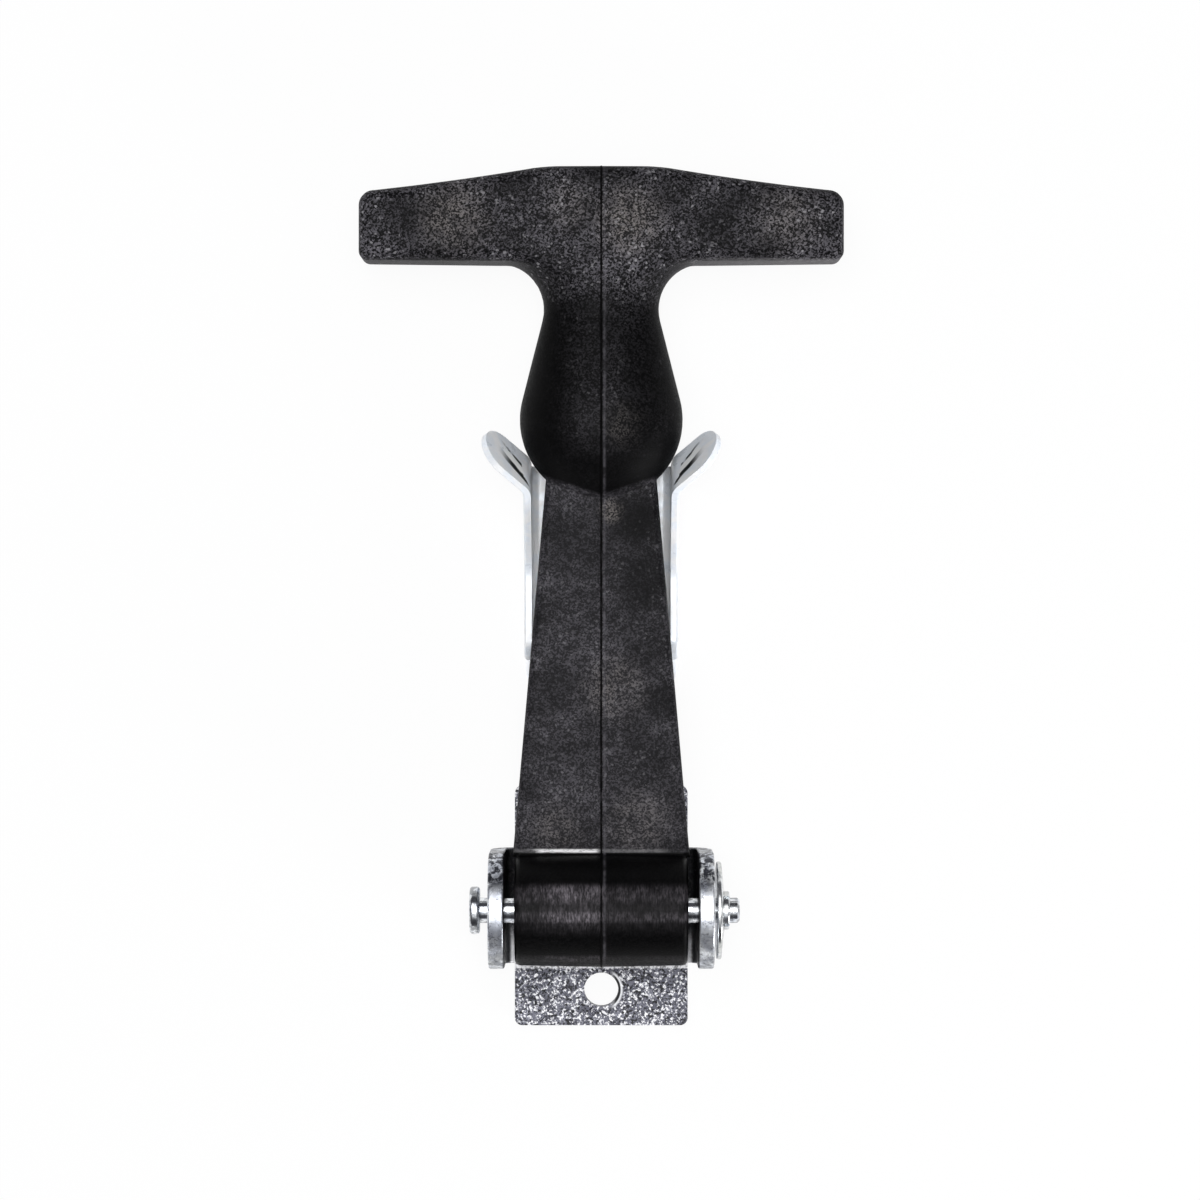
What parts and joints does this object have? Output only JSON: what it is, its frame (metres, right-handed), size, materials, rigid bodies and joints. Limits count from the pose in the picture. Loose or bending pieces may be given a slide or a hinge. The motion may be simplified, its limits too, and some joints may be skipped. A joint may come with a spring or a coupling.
{
  "type": "rubber t draw latch",
  "caption": "Rubber draw latch: a T handle with a bulb swings on a pinned steel bracket, and the bulb lodges in the flared hooks of a steel keeper.",
  "frame": {"origin": "midway between the two bracket holes, on the mounting plane, straight below the pivot axis", "axes": "+X along the pivot pin towards the push nut, +Y along the strap towards the grip, +Z out of the mounting plane"},
  "size_m": [0.0764, 0.1364, 0.0212],
  "materials": {
    "black_rubber": "matte moulded rubber with a fine grain",
    "bracket_zinc": "mottled zinc plate",
    "pin_zinc": "bright zinc plate",
    "nut_zinc": "bright zinc plate",
    "keeper_zinc": "bright zinc plate"
  },
  "bodies": {
    "base": {"pivot_bracket": "bracket_zinc", "keeper": "keeper_zinc"},
    "handle": {"t_handle": "black_rubber"},
    "pin": {"pivot_pin": "pin_zinc", "push_nut": "nut_zinc"}
  },
  "joints": [
    {"name": "pin_spin", "type": "hinge", "parent": "base", "child": "pin", "pos_m": [0, 0, 0.012], "axis": [1, 0, 0], "continuous": true},
    {"name": "handle_swing", "type": "hinge", "parent": "base", "child": "handle", "pos_m": [0, 0, 0.012], "axis": [1, 0, 0], "range_deg": [0, 180]}
  ]
}
